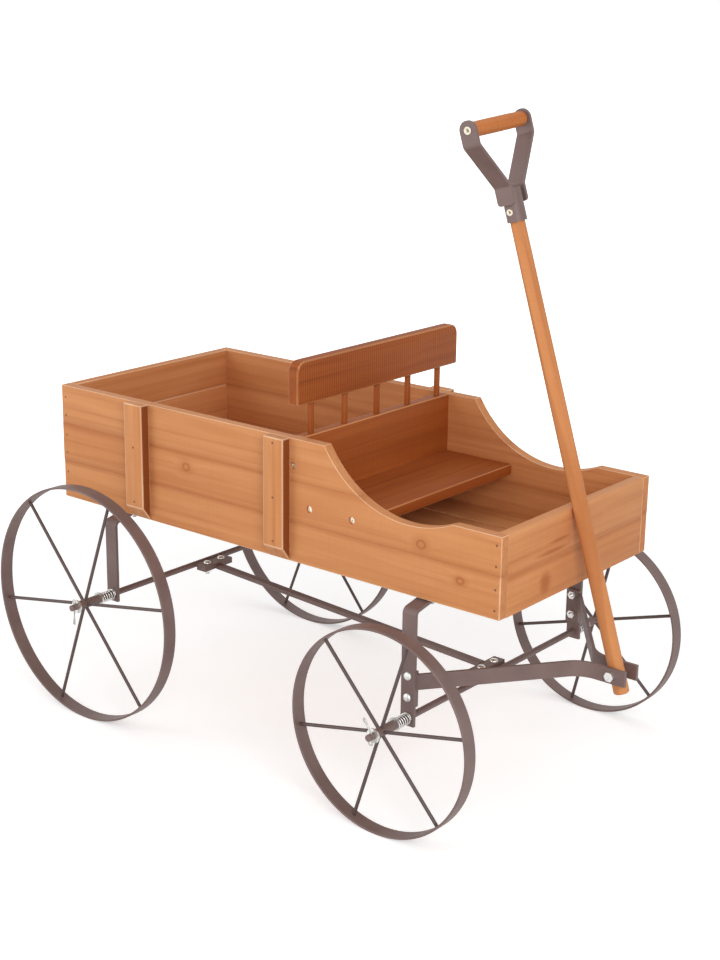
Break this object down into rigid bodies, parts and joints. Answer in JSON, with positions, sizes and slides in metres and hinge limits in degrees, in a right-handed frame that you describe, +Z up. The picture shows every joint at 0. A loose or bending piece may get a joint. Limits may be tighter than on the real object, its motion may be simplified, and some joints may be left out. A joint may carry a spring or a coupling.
{
  "type": "flower cart stand",
  "caption": "Small wooden buckboard cart for flower pots: planked box with a low seat, spoked iron wheels and a pole handle that swings down.",
  "frame": {"origin": "on the ground under the middle of the overall length and width", "axes": "+X the way the cart is pulled, +Y its left, +Z up"},
  "size_m": [0.618, 0.372, 0.5943],
  "materials": {
    "warm_plank": "oiled, planed, fine saw lines",
    "dark_plank": "reddish stain, saw lines",
    "pole_wood": "turned, satin",
    "brown_iron": "satin brown powder coat",
    "zinc": "zinc plated",
    "spring_wire": "plain wire",
    "dull_nail": "dull flush heads",
    "pale_rivet": "ivory rivets"
  },
  "bodies": {
    "root": {"side_plank_lower_right": "warm_plank", "side_plank_middle_right": "warm_plank", "side_plank_upper_right": "warm_plank", "side_plank_lower_left": "warm_plank", "side_plank_middle_left": "warm_plank", "side_plank_upper_left": "warm_plank", "rear_plank_lower": "warm_plank", "rear_plank_middle": "warm_plank", "rear_plank_upper": "warm_plank", "batten_rear_right": "warm_plank", "batten_front_right": "warm_plank", "batten_rear_left": "warm_plank", "batten_front_left": "warm_plank", "front_plank_lower": "warm_plank", "front_plank_upper": "warm_plank", "divider_board": "dark_plank", "seat_board": "dark_plank", "backrest_rail": "dark_plank", "backrest_spindles": "dark_plank", "floor_boards": "warm_plank", "rear_hanger": "brown_iron", "front_hanger": "brown_iron", "rear_axle": "brown_iron", "front_axle": "brown_iron", "rear_axle_lug": "brown_iron", "front_axle_lug": "brown_iron", "cross_plates": "brown_iron", "yoke_arm_right": "brown_iron", "yoke_arm_left": "brown_iron", "reach_bar": "brown_iron", "pivot_bolt": "zinc", "pivot_nut": "zinc", "hanger_bolts": "zinc", "leg_bolts": "zinc", "reach_bolts": "zinc", "small_nuts": "zinc", "axle_washers": "zinc", "cotter_pins": "zinc", "side_screws": "zinc", "flush_nails": "dull_nail", "hub_springs": "spring_wire"},
    "wheel_rear_right": {"rear_right_band": "brown_iron", "rear_right_spokes": "brown_iron", "rear_right_hub": "brown_iron"},
    "wheel_rear_left": {"rear_left_band": "brown_iron", "rear_left_spokes": "brown_iron", "rear_left_hub": "brown_iron"},
    "wheel_front_right": {"front_right_band": "brown_iron", "front_right_spokes": "brown_iron", "front_right_hub": "brown_iron"},
    "wheel_front_left": {"front_left_band": "brown_iron", "front_left_spokes": "brown_iron", "front_left_hub": "brown_iron"},
    "handle": {"pole": "pole_wood", "socket_tube": "brown_iron", "handle_arm_right": "brown_iron", "handle_arm_left": "brown_iron", "grip": "pole_wood", "handle_rivets": "pale_rivet"}
  },
  "joints": [
    {"name": "rear_right_spin", "type": "hinge", "parent": "root", "child": "wheel_rear_right", "pos_m": [-0.193, -0.169, 0.116], "axis": [0, 1, 0], "continuous": true},
    {"name": "rear_left_spin", "type": "hinge", "parent": "root", "child": "wheel_rear_left", "pos_m": [-0.193, 0.169, 0.116], "axis": [0, 1, 0], "continuous": true},
    {"name": "front_right_spin", "type": "hinge", "parent": "root", "child": "wheel_front_right", "pos_m": [0.17, -0.169, 0.0924], "axis": [0, 1, 0], "continuous": true},
    {"name": "front_left_spin", "type": "hinge", "parent": "root", "child": "wheel_front_left", "pos_m": [0.17, 0.169, 0.0924], "axis": [0, 1, 0], "continuous": true},
    {"name": "handle_swing", "type": "hinge", "parent": "root", "child": "handle", "pos_m": [0.295, 0, 0.1264], "axis": [0, 1, 0], "range_deg": [0, 115]}
  ]
}
